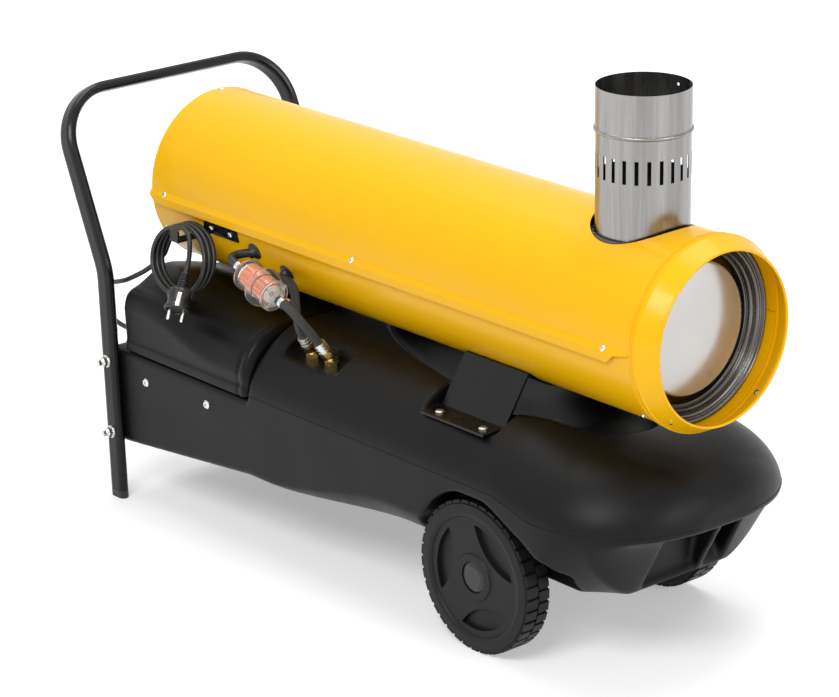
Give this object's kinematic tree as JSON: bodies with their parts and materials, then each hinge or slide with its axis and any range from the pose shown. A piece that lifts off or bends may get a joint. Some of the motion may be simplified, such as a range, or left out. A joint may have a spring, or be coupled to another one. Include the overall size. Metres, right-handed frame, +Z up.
{
  "type": "indirect fired space heater",
  "caption": "Portable indirect fired heater: round casing with outlet and flue on a wheeled plastic fuel tank, with tubular handle, fuel filter, hoses and a wound mains cord.",
  "frame": {"origin": "on the floor, in the middle of the length and width of the heater without its mains cord", "axes": "+X towards the hot-air outlet, +Z up, +Y to the left when looking along +X"},
  "size_m": [1.1439, 0.4455, 0.741],
  "materials": {
    "casing_yellow": "glossy powder coat",
    "flue_steel": "fine brushed stainless steel",
    "drum_steel": "heat-resistant steel, satin",
    "grey_ring": "rolled and ribbed, satin grey",
    "black_steel": "satin black powder coat",
    "zinc_steel": "bright zinc plate",
    "tank_plastic": "fine-grained moulded black",
    "cover_plastic": "fine-grained moulded black",
    "grey_plastic": "satin",
    "black_plastic": "semi-gloss",
    "wheel_plastic": "hard plastic, satin",
    "red_plastic": "gloss",
    "amber_plastic": "translucent look, gloss",
    "motor_metal": "cast, matt",
    "fan_metal": "pressed sheet, satin",
    "pump_metal": "cast, satin",
    "copper_pipe": "drawn tube",
    "brass_fitting": "machined",
    "ceramic_white": "glazed",
    "clear_bowl": "clear moulded bowl",
    "filter_orange": "pleated",
    "hose_rubber": "smooth hose",
    "cord_rubber": "smooth sheath",
    "white_plastic": "satin"
  },
  "bodies": {
    "heater": {"upper_shell": "casing_yellow", "lower_shell": "casing_yellow", "outlet_nose": "casing_yellow", "outlet_ring": "grey_ring", "heat_exchanger": "drum_steel", "drum_supports": "grey_ring", "flue_pipe": "flue_steel", "fan_guard": "black_steel", "motor": "motor_metal", "motor_bracket": "zinc_steel", "fuel_pump": "pump_metal", "solenoid_valve": "black_plastic", "nozzle_pipe": "copper_pipe", "blast_tube": "drum_steel", "flame_disc": "zinc_steel", "nozzle_holder": "brass_fitting", "electrodes": "ceramic_white", "photocell": "black_plastic", "fuel_tank": "tank_plastic", "filler_strainer": "white_plastic", "drain_plug": "zinc_steel", "suction_pipes": "copper_pipe", "front_bracket": "black_steel", "rear_bracket": "black_steel", "bracket_screws": "zinc_steel", "control_cover": "cover_plastic", "cover_screws": "zinc_steel", "control_panel": "grey_plastic", "pilot_lamp": "amber_plastic", "thermostat_socket": "grey_plastic", "ignition_transformer": "grey_plastic", "cable_gland": "black_plastic", "handle_tube": "black_steel", "leg_plugs": "black_plastic", "handle_bolts": "zinc_steel", "axle": "zinc_steel", "axle_clips": "grey_plastic", "axle_caps": "wheel_plastic", "casing_screws": "zinc_steel", "cord_hook": "black_steel", "cord_lead": "cord_rubber", "cord_coil": "cord_rubber", "cord_tail": "cord_rubber", "mains_plug": "black_plastic", "filter_bowl": "clear_bowl", "filter_element": "filter_orange", "filter_hose": "hose_rubber", "fuel_hoses": "hose_rubber", "hose_ferrules": "zinc_steel", "hose_fittings": "brass_fitting", "hose_clamps": "zinc_steel"},
    "wheel_left": {"wheel_left": "wheel_plastic"},
    "wheel_right": {"wheel_right": "wheel_plastic"},
    "fan": {"fan": "fan_metal", "motor_shaft": "zinc_steel", "pump_coupling": "black_plastic"},
    "main_switch": {"main_switch": "black_plastic"},
    "reset_button": {"reset_button": "red_plastic"},
    "filler_cap": {"filler_cap": "black_plastic"},
    "socket_lid": {"socket_lid": "black_plastic"}
  },
  "joints": [
    {"name": "wheel_left_spin", "type": "hinge", "parent": "heater", "child": "wheel_left", "pos_m": [0.30096, 0.16, 0.1025], "axis": [0, 1, 0], "continuous": true},
    {"name": "wheel_right_spin", "type": "hinge", "parent": "heater", "child": "wheel_right", "pos_m": [0.30096, -0.16, 0.1025], "axis": [0, 1, 0], "continuous": true},
    {"name": "fan_spin", "type": "hinge", "parent": "heater", "child": "fan", "pos_m": [-0.39504, 0, 0.448], "axis": [1, 0, 0], "continuous": true},
    {"name": "main_switch_rock", "type": "hinge", "parent": "heater", "child": "main_switch", "pos_m": [-0.42406, 0.092, 0.267], "axis": [0, 1, 0], "range_deg": [-12, 12]},
    {"name": "reset_button_press", "type": "slide", "parent": "heater", "child": "reset_button", "axis": [1, 0, 0], "range_m": [0, 0.003], "stiffness_N_per_m": 300, "springref_m": -0.002},
    {"name": "filler_cap_turn", "type": "hinge", "parent": "heater", "child": "filler_cap", "pos_m": [0.06096, 0.136, 0.295], "axis": [0, 0, 1], "range_deg": [0, 90]},
    {"name": "socket_lid_swing", "type": "hinge", "parent": "heater", "child": "socket_lid", "pos_m": [-0.44606, -0.018, 0.289], "axis": [0, 1, 0], "range_deg": [0, 100]}
  ]
}
